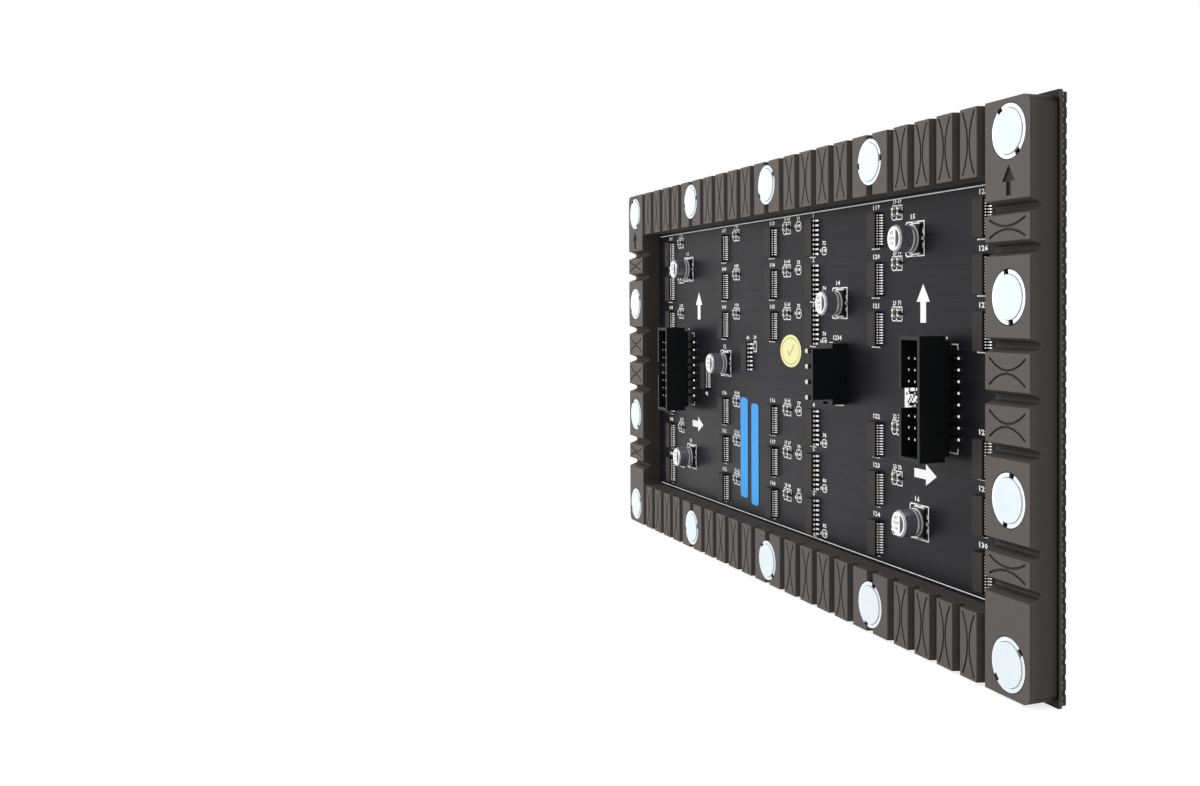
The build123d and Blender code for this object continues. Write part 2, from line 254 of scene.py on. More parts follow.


# Painted glow: a pale centre painted into the colour of every lamp of a regular grid, fading towards its rim,
# standing in for light in the resin
def buildPaintedGlowGroup():
    inputs = {"Colour": "Color", "Centre Colour": "Color", "Pitch": "Float", "Radius": "Float"}
    outputs = {"Colour": "Color"}
    group, add, link, start, end = newGroup("paintedLampGlow", "ShaderNodeTree", inputs, outputs)
    place = add("ShaderNodeTexCoord")
    split = add("ShaderNodeSeparateXYZ")
    link(place.outputs["Object"], split.inputs[0])
    offsets = []
    for axis in ("X", "Z"):
        cells = mathNode(add, "DIVIDE")
        part = mathNode(add, "FRACT")
        centred = mathNode(add, "SUBTRACT", 0.5)
        link(split.outputs[axis], cells.inputs[0])
        link(start.outputs["Pitch"], cells.inputs[1])
        link(cells.outputs[0], part.inputs[0])
        link(part.outputs[0], centred.inputs[0])
        offsets.append(centred)
    join = add("ShaderNodeCombineXYZ")
    reach = vectorNode(add, "LENGTH")
    size = mathNode(add, "MULTIPLY")
    fade = add("ShaderNodeMapRange")
    fade.interpolation_type = "SMOOTHSTEP"
    fade.inputs["From Min"].default_value = 0.0
    fade.inputs["To Min"].default_value = 1.0
    fade.inputs["To Max"].default_value = 0.0
    paint = colourMix(add)
    link(offsets[0].outputs[0], join.inputs[0])
    link(offsets[1].outputs[0], join.inputs[1])
    link(join.outputs[0], reach.inputs[0])
    link(reach.outputs["Value"], size.inputs[0])
    link(start.outputs["Pitch"], size.inputs[1])
    link(size.outputs[0], fade.inputs["Value"])
    link(start.outputs["Radius"], fade.inputs["From Max"])
    link(fade.outputs[0], paint.inputs[0])
    link(start.outputs["Colour"], paint.inputs[6])
    link(start.outputs["Centre Colour"], paint.inputs[7])
    link(paint.outputs[2], end.inputs["Colour"])
    return group


grainGroup = buildGrainGroup()
paintedGlowGroup = buildPaintedGlowGroup()
paintedShadeGroup = buildPaintedShadeGroup()
traceGroup = buildTraceGroup()


# Sends a colour through one more group, with that group's inputs set
def throughGroup(tree, group, colour, settings):
    step = tree.nodes.new("ShaderNodeGroup")
    step.node_tree = group
    for inputName, value in settings.items():
        step.inputs[inputName].default_value = value
    tree.links.new(colour, step.inputs["Colour"])
    return step.outputs["Colour"]


def grainMaterial(name, values):
    material = bpy.data.materials.new(name)
    material.use_nodes = True
    tree = material.node_tree
    shader = tree.nodes["Principled BSDF"]
    grain = tree.nodes.new("ShaderNodeGroup")
    grain.node_tree = grainGroup
    grain.inputs["Dark Colour"].default_value = toLinear(*values["dark"])
    grain.inputs["Light Colour"].default_value = toLinear(*values["light"])
    grain.inputs["Grain Scale"].default_value = values["grainScale"]
    grain.inputs["Mottle Scale"].default_value = values["mottleScale"]
    grain.inputs["Smooth"].default_value = values["smooth"]
    grain.inputs["Rough"].default_value = values["rough"]
    grain.inputs["Bump"].default_value = values["bump"]
    colour = grain.outputs["Colour"]
    # painted shade by depth, where a finish asks for it
    if "paintedDeepShade" in values:
        colour = throughGroup(tree, paintedShadeGroup, colour, values["paintedDeepShade"])
    if "traces" in values:
        colour = throughGroup(tree, traceGroup, colour, {
            "Trace Colour": toLinear(*values["traces"]), "Edge Colour": toLinear(*values["edge"]),
            "Spacing Scale": values["traceScale"], "Edge X": values["edgeX"]})
    # painted glow in the middle of each lamp
    if "glow" in values:
        colour = throughGroup(tree, paintedGlowGroup, colour, {
            "Centre Colour": toLinear(*values["glow"]), "Pitch": values["glowPitch"],
            "Radius": values["glowRadius"]})
    tree.links.new(colour, shader.inputs["Base Color"])
    tree.links.new(grain.outputs["Roughness"], shader.inputs["Roughness"])
    tree.links.new(grain.outputs["Normal"], shader.inputs["Normal"])
    shader.inputs["Metallic"].default_value = values.get("metallic", 0.0)
    shader.inputs["Specular IOR Level"].default_value = values.get("specular", 0.5)
    shader.inputs["Coat Weight"].default_value = values.get("coat", 0.0)
    return material


# The look of each finish; colours are screen values from 0 to 255
finishes = {
    "softSilicone": dict(dark=(76, 72, 69), light=(90, 86, 83), grainScale=1600, mottleScale=60,
                         smooth=0.55, rough=0.72, bump=0.25, specular=0.25,
                         # painted shade: darker deep in the notches and bar hollows, and on the groove and
                         # arrow floors
                         paintedDeepShade={"Start": 0.0003, "Reach": 0.0022, "Deep Amount": 0.3, "Bar Amount": 0.72,
                               "Outer Half": (0.11905, 1, 0.05893), "Inner Half": (0.1047, 1, 0.0448),
                               "First Floor": 0.0005, "Second Floor": 0.00065, "Floor Amount": 0.9}),
    "solderMask": dict(dark=(14, 14, 18), light=(21, 21, 25), grainScale=900, mottleScale=40,
                       smooth=0.3, rough=0.42, bump=0.06, specular=0.115,
                       traces=(24, 24, 28), traceScale=1300, edge=(84, 82, 70), edgeX=0.11975),
    "lampBody": dict(dark=(14, 14, 15), light=(22, 22, 24), grainScale=2500, mottleScale=120,
                     smooth=0.45, rough=0.6, bump=0.15, specular=0.3),
    # painted glow: a pale centre painted into each lamp's resin
    "lampResin": dict(dark=(58, 58, 60), light=(84, 84, 84), grainScale=2500, mottleScale=90, smooth=0.3,
                      rough=0.45, bump=0.15, glow=(186, 181, 177), glowPitch=0.003, glowRadius=0.0011),
    "edgeBead": dict(dark=(8, 8, 10), light=(16, 15, 18), grainScale=1800, mottleScale=140,
                     smooth=0.4, rough=0.55, bump=0.2, specular=0.2),
    "tinnedMetal": dict(dark=(214, 214, 212), light=(246, 246, 244), grainScale=1800, mottleScale=400,
                        smooth=0.3, rough=0.45, bump=0.15, metallic=0.55),
    # painted shade: the same tin as the legs, darkened where the shank lies in shade
    "paintedShadeTin": dict(dark=(40, 39, 38), light=(62, 61, 59), grainScale=1800, mottleScale=400,
                    smooth=0.4, rough=0.55, bump=0.15, metallic=0.2, specular=0.2),
    "platedCup": dict(dark=(210, 216, 219), light=(236, 241, 243), grainScale=1400, mottleScale=200,
                      smooth=0.25, rough=0.42, bump=0.12, metallic=0.6,
                      # painted shade: the slots below the cup's rim painted dark
                      paintedDeepShade={"Start": 0.0004, "Reach": 0.0004, "Deep Amount": 0.97}),
    "platedFace": dict(dark=(219, 231, 236), light=(239, 247, 251), grainScale=1500, mottleScale=180,
                       smooth=0.45, rough=0.6, bump=0.08, metallic=0.05, specular=0.15,
                       # painted shade: the gap below the disc's face painted dark
                       paintedDeepShade={"Start": 0.0003, "Reach": 0.0004, "Deep Amount": 0.97}),
    "chipEpoxy": dict(dark=(27, 25, 23), light=(40, 37, 34), grainScale=2600, mottleScale=250,
                      smooth=0.45, rough=0.62, bump=0.3, specular=0.18),
    "brownCeramic": dict(dark=(126, 106, 88), light=(160, 140, 120), grainScale=1800, mottleScale=500,
                         smooth=0.25, rough=0.4, bump=0.1, coat=0.5),
    "blackGlaze": dict(dark=(40, 40, 43), light=(60, 60, 63), grainScale=1800, mottleScale=500,
                       smooth=0.25, rough=0.4, bump=0.1, coat=0.3),
    "rolledCan": dict(dark=(138, 138, 142), light=(176, 176, 180), grainScale=1700, mottleScale=260,
                      smooth=0.2, rough=0.36, bump=0.3, metallic=0.6),
    "canLacquer": dict(dark=(226, 226, 226), light=(250, 250, 250), grainScale=1700, mottleScale=300,
                       smooth=0.3, rough=0.45, bump=0.08, metallic=0.2),
    "blackBase": dict(dark=(8, 8, 9), light=(15, 15, 16), grainScale=2200, mottleScale=200,
                      smooth=0.45, rough=0.6, bump=0.2, specular=0.2),
    "connectorPlastic": dict(dark=(17, 18, 20), light=(24, 25, 27), grainScale=2200, mottleScale=150,
                             smooth=0.38, rough=0.52, bump=0.2, specular=0.18),
    # painted shade for the power connector's slot
    "hollowShade": dict(dark=(2, 2, 2), light=(5, 5, 5), grainScale=2200, mottleScale=200,
                        smooth=0.8, rough=0.95, bump=0.1, specular=0.0),
    # painted shade: the header posts darkened where they stand in the shroud's shade
    "paintedShadePost": dict(dark=(36, 32, 24), light=(56, 50, 38), grainScale=1600, mottleScale=300,
                      smooth=0.3, rough=0.45, bump=0.1, metallic=0.2, specular=0.3),
    "creamPin": dict(dark=(244, 236, 206), light=(254, 248, 226), grainScale=1600, mottleScale=300,
                     smooth=0.25, rough=0.4, bump=0.1,
                     # painted shade: each pin painted dark below its top face
                     paintedDeepShade={"Start": -0.00298, "Reach": 0.00004, "Deep Amount": 0.95}),
    "lampTin": dict(dark=(120, 120, 120), light=(170, 170, 168), grainScale=1800, mottleScale=400,
                    smooth=0.3, rough=0.45, bump=0.15, metallic=0.4),
    # bright solder at the header feet, and a painted highlight on the post tips
    "solderAndTipHighlight": dict(dark=(232, 230, 226), light=(252, 250, 246), grainScale=1600, mottleScale=300,
                         smooth=0.12, rough=0.25, bump=0.08, metallic=1.0),
    "yellowPaper": dict(dark=(226, 223, 156), light=(240, 238, 180), grainScale=1500, mottleScale=250,
                        smooth=0.5, rough=0.65, bump=0.15, specular=0.3),
    "bluePaper": dict(dark=(36, 140, 218), light=(58, 166, 240), grainScale=1500, mottleScale=120,
                      smooth=0.4, rough=0.55, bump=0.12, specular=0.3),
    "whitePrint": dict(dark=(238, 238, 236), light=(252, 252, 252), grainScale=3000, mottleScale=600,
                       smooth=0.55, rough=0.7, bump=0.1),
    "ringInk": dict(dark=(140, 138, 76), light=(166, 162, 96), grainScale=3000, mottleScale=600,
                    smooth=0.6, rough=0.75, bump=0.1),
    "blackInk": dict(dark=(14, 14, 15), light=(34, 34, 36), grainScale=3000, mottleScale=600,
                     smooth=0.35, rough=0.55, bump=0.1),
    "greyInk": dict(dark=(92, 90, 98), light=(132, 130, 138), grainScale=3000, mottleScale=600,
                    smooth=0.5, rough=0.65, bump=0.1),
}
materials = {name: grainMaterial(name, values) for name, values in finishes.items()}
print("materials:", len(materials))


# Solids of the frame keep their shape and take a finish
nodeFinishes = {
    "rubber_frame": "softSilicone",
    "circuit_board": "solderMask",
    "magnet_cups": "platedCup",
    "magnet_discs": "platedFace",
    "driver_chips": "chipEpoxy",
    "row_chips": "chipEpoxy",
    "logic_chip": "chipEpoxy",
    "decoder_chip": "chipEpoxy",
    "capacitor_cans": "rolledCan",
    "capacitor_bases": "blackBase",
    "header_shroud": "connectorPlastic",
    # the header posts take painted shade
    "header_pins": "paintedShadePost",
    "power_housing": "connectorPlastic",
    "power_pins": "creamPin",
    "oval_label": "yellowPaper",
    "label_strip": "bluePaper",
}
for nodeName, node in nodes.items():
    for start, finish in nodeFinishes.items():
        if nodeName.startswith(start):
            node.data.materials.clear()
            node.data.materials.append(materials[finish])
print("solids finished")


# Mesh helpers: X and Z in millimetres, rise in millimetres above the board's rear
def addPrism(mesh, nearPoints, farPoints):
    near = [mesh.verts.new(point) for point in nearPoints]
    far = [mesh.verts.new(point) for point in farPoints]
    mesh.faces.new(near)
    mesh.faces.new(list(reversed(far)))
    for index in range(len(near)):
        following = (index + 1) % len(near)
        mesh.faces.new((near[following], near[index], far[index], far[following]))


def addPlate(mesh, points, low, high):
    addPrism(mesh, [(x, low, z) for x, z in points], [(x, high, z) for x, z in points])


def addBlock(mesh, x, z, sizeX, sizeZ, low, high):
    points = [(x - sizeX / 2, z - sizeZ / 2), (x + sizeX / 2, z - sizeZ / 2),
              (x + sizeX / 2, z + sizeZ / 2), (x - sizeX / 2, z + sizeZ / 2)]
    addPlate(mesh, points, low, high)


# A low dome of solder on the board
def addDome(mesh, x, z, radius, height, around=10, levels=3):
    rings = []
    for level in range(levels):
        angle = math.radians(90 * level / levels)
        ring = []
        for step in range(around):
            turn = math.radians(360 * step / around)
            reach = radius * math.cos(angle)
            point = (x + reach * math.cos(turn), height * math.sin(angle), z + reach * math.sin(turn))
            ring.append(mesh.verts.new(point))
        rings.append(ring)
    crown = mesh.verts.new((x, height, z))
    mesh.faces.new(list(reversed(rings[0])))
    for low, high in zip(rings, rings[1:]):
        for step in range(around):
            following = (step + 1) % around
            face = mesh.faces.new((low[step], low[following], high[following], high[step]))
            face.smooth = True
    for step in range(around):
        face = mesh.faces.new((rings[-1][step], rings[-1][(step + 1) % around], crown))
        face.smooth = True


def addStroke(mesh, start, end, width, low, high):
    startPoint = Vector(start)
    endPoint = Vector(end)
    across = (endPoint - startPoint).normalized().orthogonal() * width / 2
    addPlate(mesh, [tuple(startPoint - across), tuple(endPoint - across),
                    tuple(endPoint + across), tuple(startPoint + across)], low, high)


def addRing(mesh, outer, inner, low, high):
    count = len(outer)
    loops = []
    for points, level in ((outer, low), (inner, low), (inner, high), (outer, high)):
        loops.append([mesh.verts.new((x, level, z)) for x, z in points])
    for index in range(count):
        following = (index + 1) % count
        for ring in range(4):
            current = loops[ring]
            neighbour = loops[(ring + 1) % 4]
            mesh.faces.new((current[index], current[following], neighbour[following], neighbour[index]))


def roundedOutline(x, z, width, height, radius, steps=3):
    points = []
    for turn, (signX, signZ) in enumerate(((1, 1), (-1, 1), (-1, -1), (1, -1))):
        centreX = x + signX * (width / 2 - radius)
        centreZ = z + signZ * (height / 2 - radius)
        for step in range(steps + 1):
            angle = math.pi / 2 * (turn + step / steps)
            points.append((centreX + radius * math.cos(angle), centreZ + radius * math.sin(angle)))
    return points


def ovalOutline(x, z, width, height, steps=40):
    return [(x + width / 2 * math.cos(2 * math.pi * step / steps),
             z + height / 2 * math.sin(2 * math.pi * step / steps)) for step in range(steps)]


# Plain digits as a flat mesh, upright and readable from behind the board
def addNumber(mesh, words, x, z, size, level, stretch=1.3):
    curve = bpy.data.curves.new("digits", "FONT")
    curve.body = words
    curve.size = size * 1.4
    curve.offset = 0.035 * size
    curve.resolution_u = 1
    curve.align_x = "CENTER"
    curve.align_y = "CENTER"
    text = addToScene("digits", curve)
    bpy.context.view_layer.update()
    evaluated = text.evaluated_get(bpy.context.evaluated_depsgraph_get())
    flat = bpy.data.meshes.new_from_object(evaluated)
    flat.transform(Matrix(((-stretch, 0, 0, x), (0, 0, 1, level), (0, 1, 0, z), (0, 0, 0, 1))))
    mesh.from_mesh(flat)
    bpy.data.objects.remove(text)
    bpy.data.curves.remove(curve)
    bpy.data.meshes.remove(flat)


def finishPiece(name, mesh, finish, replaced=(), flat=False):
    if flat:
        turned = [face for face in mesh.faces if face.normal.y < 0]
        bmesh.ops.reverse_faces(mesh, faces=turned)
    else:
        bmesh.ops.recalc_face_normals(mesh, faces=mesh.faces)
    data = bpy.data.meshes.new(name)
    mesh.to_mesh(data)
    mesh.free()
    data.transform(Matrix.Translation((0, rearY, 0)) @ Matrix.Scale(mm, 4))
    data.materials.append(materials[finish])
    piece = addToScene(name, data)
    rideRoot(piece, replaced)
    return piece


def rideRoot(piece, replaced=()):
    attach(piece, "root")
    if replaced:
        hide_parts(*replaced)


# One Geometry Nodes tree sets a shape in a row at each place
def buildRowTree():
    inputs = {"Places": "Geometry", "Shape": "Object", "Count": "Int", "Pitch": "Float",
              "Finish": "Material"}
    outputs = {"Rows": "Geometry"}
    tree, add, link, start, end = newGroup("rowsOfShapes", "GeometryNodeTree", inputs, outputs)
    lessOne = mathNode(add, "SUBTRACT", 1.0)
    span = mathNode(add, "MULTIPLY")
    halfBack = mathNode(add, "MULTIPLY", -0.5)
    first = add("ShaderNodeCombineXYZ")
    offset = add("ShaderNodeCombineXYZ")
    line = add("GeometryNodeMeshLine")
    line.mode = "OFFSET"
    shape = add("GeometryNodeObjectInfo")
    shape.inputs["As Instance"].default_value = True
    row = add("GeometryNodeInstanceOnPoints")
    spread = add("GeometryNodeInstanceOnPoints")
    realize = add("GeometryNodeRealizeInstances")
    finish = add("GeometryNodeSetMaterial")
    link(start.outputs["Count"], lessOne.inputs[0])
    link(lessOne.outputs[0], span.inputs[0])
    link(start.outputs["Pitch"], span.inputs[1])
    link(span.outputs[0], halfBack.inputs[0])
    link(halfBack.outputs[0], first.inputs["Z"])
    link(start.outputs["Pitch"], offset.inputs["Z"])
    link(start.outputs["Count"], line.inputs["Count"])
    link(first.outputs[0], line.inputs["Start Location"])
    link(offset.outputs[0], line.inputs["Offset"])
    link(start.outputs["Shape"], shape.inputs["Object"])
    link(line.outputs["Mesh"], row.inputs["Points"])
    link(shape.outputs["Geometry"], row.inputs["Instance"])
    link(start.outputs["Places"], spread.inputs["Points"])
    link(row.outputs["Instances"], spread.inputs["Instance"])
    link(spread.outputs["Instances"], realize.inputs["Geometry"])
    link(realize.outputs["Geometry"], finish.inputs["Geometry"])
    link(start.outputs["Finish"], finish.inputs["Material"])
    link(finish.outputs["Geometry"], end.inputs["Rows"])
    return tree


rowTree = buildRowTree()
rowSockets = {item.name: item.identifier for item in rowTree.interface.items_tree if item.in_out == "INPUT"}


# shape is a bmesh in millimetres about its own place; places are (x, rise, z) in millimetres
def setInRows(name, shape, places, count, pitch, finish, replaced=()):
    bmesh.ops.recalc_face_normals(shape, faces=shape.faces)
    shapeData = bpy.data.meshes.new(name + "Shape")
    shape.to_mesh(shapeData)
    shape.free()
    shapeData.transform(Matrix.Scale(mm, 4))
    shapeObject = addToScene(name + "Shape", shapeData)
    hostData = bpy.data.meshes.new(name + "Places")
    hostData.from_pydata([(x * mm, rearY + rise * mm, z * mm) for x, rise, z in places], [], [])
    host = addToScene(name + "Places", hostData)
    modifier = host.modifiers.new("rows", "NODES")
    modifier.node_group = rowTree
    modifier[rowSockets["Shape"]] = shapeObject
    modifier[rowSockets["Count"]] = count
    modifier[rowSockets["Pitch"]] = pitch * mm
    modifier[rowSockets["Finish"]] = materials[finish]
    bpy.context.view_layer.update()
    evaluated = host.evaluated_get(bpy.context.evaluated_depsgraph_get())
    baked = bpy.data.meshes.new_from_object(evaluated)
    host.modifiers.remove(modifier)
    bpy.data.objects.remove(host)
    bpy.data.objects.remove(shapeObject)
    piece = addToScene(name, baked)
    rideRoot(piece, replaced)
    return piece


# Lamps on the front
lamp = dict(pitch=3.0, columns=80, rows=40, size=2.1, height=1.3, rim=0.17, recess=0.07,
            corner=0.28, resinSunk=0.03, resinProud=0.01,
            padWidth=0.46, padSpacing=0.56, padHeight=0.45, padThickness=0.06)
boardThickness = (rearY - frontY) / mm


def lampPlaces():
    start = -(lamp["columns"] - 1) / 2 * lamp["pitch"]
    return [(start + column * lamp["pitch"], -boardThickness, 0) for column in range(lamp["columns"])]


def lampBodyShape():
    mesh = bmesh.new()
    half = lamp["size"] / 2
    inner = half - lamp["rim"]
    face = -lamp["height"]
    floor = face + lamp["recess"]
    outer = [(-half, -half), (half, -half), (half, half), (-half, half)]
    hollow = [(-inner, -inner), (inner, -inner), (inner, inner), (-inner, inner)]
    back = [mesh.verts.new((x, 0, z)) for x, z in outer]
    front = [mesh.verts.new((x, face, z)) for x, z in outer]
    lip = [mesh.verts.new((x, face, z)) for x, z in hollow]
    bed = [mesh.verts.new((x, floor, z)) for x, z in hollow]
    mesh.faces.new(back)
    mesh.faces.new(bed)
    for index in range(4):
        following = (index + 1) % 4
        mesh.faces.new((back[index], back[following], front[following], front[index]))
        mesh.faces.new((front[index], front[following], lip[following], lip[index]))
        mesh.faces.new((lip[index], lip[following], bed[following], bed[index]))
    return mesh


def lampResinShape():
    mesh = bmesh.new()
    half = lamp["size"] / 2 - lamp["rim"]
    cut = lamp["corner"]
    face = -lamp["height"] + lamp["recess"]
    points = [(-half + cut, -half), (half - cut, -half), (half, -half + cut), (half, half - cut),
              (half - cut, half), (-half + cut, half), (-half, half - cut), (-half, -half + cut)]
    addPlate(mesh, points, face - lamp["resinSunk"], face + lamp["resinProud"])
    return mesh


def lampPadShape():
    mesh = bmesh.new()
    half = lamp["size"] / 2
    for side in (-1, 1):
        for rise in (-1, 1):
            z = rise * lamp["padSpacing"]
            x = side * (half + lamp["padThickness"] / 2)
            addBlock(mesh, x, z, lamp["padThickness"], lamp["padWidth"], -lamp["padHeight"], 0)
    return mesh


setInRows("lampBodies", lampBodyShape(), lampPlaces(), lamp["rows"], lamp["pitch"],
          "lampBody", ("led_rows",))
setInRows("lampResin", lampResinShape(), lampPlaces(), lamp["rows"], lamp["pitch"], "lampResin")
setInRows("lampPads", lampPadShape(), lampPlaces(), lamp["rows"], lamp["pitch"], "lampTin")

# A dark bead seals the lamps along the two short edges
bead = dict(height=1.16, width=1.3, inset=0.05, overlap=0.04)
beadMesh = bmesh.new()
for side in (-1, 1):
    lastLamp = (lamp["columns"] - 1) / 2 * lamp["pitch"]
    x = side * (lastLamp + lamp["size"] / 2 - bead["width"] / 2 - bead["inset"])
    for gap in range(lamp["rows"] - 1):
        z = (gap - (lamp["rows"] - 2) / 2) * lamp["pitch"]
        low = -boardThickness - bead["height"]
        addBlock(beadMesh, x, z, bead["width"], lamp["pitch"] - lamp["size"] + bead["overlap"],
                 low, -boardThickness)
finishPiece("edgeBeads", beadMesh, "edgeBead")
print("lamps placed")


# Chips: their places, legs and pads
chip = dict(driverX=(92.6, 45.35, 9.8, -49.8, -94.65), upperZ=(37.0, 25.0, 13.0),
            lowerZ=(-14.0, -26.0, -38.0), rowX=-16.0, logic=(27.0, 3.65), decoder=(60.0, -3.7))
driverPlaces = [(x, z) for x in chip["driverX"] for z in chip["upperZ"] + chip["lowerZ"]]
rowPlaces = [(chip["rowX"], z) for z in chip["upperZ"] + chip["lowerZ"]]


# The same profile on both sides of a chip
def addBar(mesh, profile, width):
    for side in (-1, 1):
        addPrism(mesh, [(side * x, rise, -width / 2) for x, rise in profile],
                 [(side * x, rise, width / 2) for x, rise in profile])


# Profiles as (reach from the chip's middle, rise): bright shoulder and foot, and the shank between them
# darker by painted shade
legProfiles = dict(
    shoulder=[(1.7, 1.1), (2.36, 1.1), (2.46, 1.02), (2.42, 0.93), (1.7, 0.93)],
    foot=[(2.3, 0.62), (2.42, 0.58), (2.74, 0.22), (3.02, 0.13), (3.02, 0.02), (2.2, 0.02), (2.16, 0.6)],
    shank=[(2.2, 0.94), (2.4, 0.94), (2.32, 0.6), (2.2, 0.56)],
    shankInset=0.02, padReach=2.76, padLength=0.9, padHeight=0.07, padSpare=0.02)


def legShape(width):
    mesh = bmesh.new()
    addBar(mesh, legProfiles["shoulder"], width)
    addBar(mesh, legProfiles["foot"], width)
    return mesh


def shankShape(width):
    mesh = bmesh.new()
    addBar(mesh, legProfiles["shank"], width - legProfiles["shankInset"])
    return mesh


def padShape(width):
    mesh = bmesh.new()
    for side in (-1, 1):
        addBlock(mesh, side * legProfiles["padReach"], 0, legProfiles["padLength"], width,
                 0, legProfiles["padHeight"])
    return mesh


legSets = {
    "driver": dict(places=driverPlaces + [chip["decoder"]], count=12, pitch=0.635, width=0.26),
    "row": dict(places=rowPlaces, count=8, pitch=1.27, width=0.52),
    "logic": dict(places=[chip["logic"]], count=7, pitch=1.27, width=0.52),
}
for setName, legs in legSets.items():
    places = [(x, 0, z) for x, z in legs["places"]]
    setInRows(setName + "Legs", legShape(legs["width"]), places, legs["count"], legs["pitch"],
              "tinnedMetal")
    # the shanks take painted shade
    setInRows(setName + "Shanks", shankShape(legs["width"]), places, legs["count"], legs["pitch"],
              "paintedShadeTin")
    setInRows(setName + "Pads", padShape(legs["width"] + legProfiles["padSpare"]), places,
              legs["count"], legs["pitch"], "tinnedMetal")
print("chip legs placed")


# Small capacitors and resistors: body and tinned ends
small = dict(width=0.8, length=1.6, height=0.8, end=0.36, fillet=0.3, filletShare=0.45, filletFoot=0.06,
             overlap=0.02, sideInset=0.04, lift=0.02, topInset=0.03,
             capacitorX=-8.7, resistorX=-11.2, rise=3.85, crowdedZ=-12.76,
             rowOffsets=((8.8, 3.75), (-6.4, -3.7)), logicOffset=(-5.3, 3.25))
driverCapacitors = []
driverResistors = []
rowCapacitors = []
for x in chip["driverX"][:-1]:
    for z in chip["upperZ"] + chip["lowerZ"]:
        crowded = x == chip["driverX"][0] and z == chip["lowerZ"][0]
        level = small["crowdedZ"] if crowded else z + small["rise"]
        driverCapacitors.append((x + small["capacitorX"], level))
        driverResistors.append((x + small["resistorX"], level))
for z in chip["upperZ"] + chip["lowerZ"]:
    for offsetX, offsetZ in small["rowOffsets"]:
        rowCapacitors.append((chip["rowX"] + offsetX, z + offsetZ))
logicCapacitor = (chip["logic"][0] + small["logicOffset"][0], chip["logic"][1] + small["logicOffset"][1])
quarterTurn = Matrix.Rotation(math.radians(90), 4, "Y")


def smallBodyShape(part, lying=False):
    mesh = bmesh.new()
    length = part["length"] - 2 * part["end"] + part["overlap"]
    addBlock(mesh, 0, 0, part["width"] - part["sideInset"], length,
             part["lift"], part["height"] - part["topInset"])
    if lying:
        mesh.transform(quarterTurn)
    return mesh


def smallEndShape(part, lying=False):
    mesh = bmesh.new()
    half = part["length"] / 2
    wide = part["width"] / 2
    reach = half + part["fillet"]
    for side in (-1, 1):
        profile = [(half - part["end"], 0), (half - part["end"], part["height"]), (half, part["height"]),
                   (half, part["filletShare"] * part["height"]), (reach, part["filletFoot"]), (reach, 0)]
        addPrism(mesh, [(-wide, rise, side * z) for z, rise in profile],
                 [(wide, rise, side * z) for z, rise in profile])
    if lying:
        mesh.transform(quarterTurn)
    return mesh


def onBoard(places):
    return [(x, 0, z) for x, z in places]


setInRows("driverCeramics", smallBodyShape(small), onBoard(driverCapacitors + [logicCapacitor]), 1, 1.0,
          "brownCeramic", ("small_capacitors",))
setInRows("rowCeramics", smallBodyShape(small, True), onBoard(rowCapacitors), 1, 1.0,
          "brownCeramic")
setInRows("resistorBodies", smallBodyShape(small), onBoard(driverResistors), 1, 1.0,
          "blackGlaze", ("small_resistors",))
setInRows("driverTinnedEnds", smallEndShape(small),
          onBoard(driverCapacitors + driverResistors + [logicCapacitor]), 1, 1.0, "tinnedMetal")
setInRows("rowTinnedEnds", smallEndShape(small, True), onBoard(rowCapacitors), 1, 1.0,
          "tinnedMetal")
print("small parts placed")


# Round capacitors: leads, lip, top, dark mark and numbers
canPlaces = ((75.7, 31.4), (44.1, 1.0), (73.5, -31.4), (-31.0, 19.35), (-67.5, 33.95), (-69.3, -31.4))
can = dict(radius=3.15, top=5.7, lacquer=0.03, lacquerRadius=2.78, markRadius=2.3, markEdge=-0.85, mark=0.05,
           leadStart=3.1, leadWidth=0.8, leadReach=4.15, leadHeight=0.3,
           lipRadius=3.32, lipInset=0.1, lipLow=1.0, lipHigh=1.28,
           numberX=0.85, numberSize=0.8, numberRise=0.032, numbers=((1.25, "47"), (0.1, "100"), (-1.1, "16")))
leads = bmesh.new()
marks = bmesh.new()
tops = bmesh.new()
lips = bmesh.new()
canNumbers = bmesh.new()


def arcPoints(x, z, radius, first, last, steps):
    points = []
    for step in range(steps + 1):
        angle = math.radians(first + (last - first) * step / steps)
        points.append((x + radius * math.cos(angle), z + radius * math.sin(angle)))
    return points


def circleOutline(x, z, width):
    return ovalOutline(x, z, width, width, 32)


canTop = can["top"] + can["lacquer"]
for x, z in canPlaces:
    for side in (-1, 1):
        addBlock(leads, x + side * (can["leadStart"] + can["leadReach"]) / 2, z,
                 can["leadReach"] - can["leadStart"], can["leadWidth"], 0, can["leadHeight"])
    reach = math.degrees(math.acos(-can["markEdge"] / can["markRadius"]))
    segment = arcPoints(x, z, can["markRadius"], 180 - reach, 180 + reach, 16)
    addPlate(marks, segment, canTop, can["top"] + can["mark"])
    addPlate(tops, circleOutline(x, z, 2 * can["lacquerRadius"]), can["top"], canTop)
    addRing(lips, circleOutline(x, z, 2 * can["lipRadius"]),
            circleOutline(x, z, 2 * can["radius"] - can["lipInset"]), can["lipLow"], can["lipHigh"])
    for level, words in can["numbers"]:
        addNumber(canNumbers, words, x + can["numberX"], z + level, can["numberSize"],
                  can["top"] + can["numberRise"], 1.5)
finishPiece("capacitorLeads", leads, "tinnedMetal")
finishPiece("canMarks", marks, "blackInk")
finishPiece("canTops", tops, "canLacquer")
finishPiece("canLips", lips, "canLacquer")
finishPiece("canNumbers", canNumbers, "greyInk", flat=True)
print("capacitors finished")


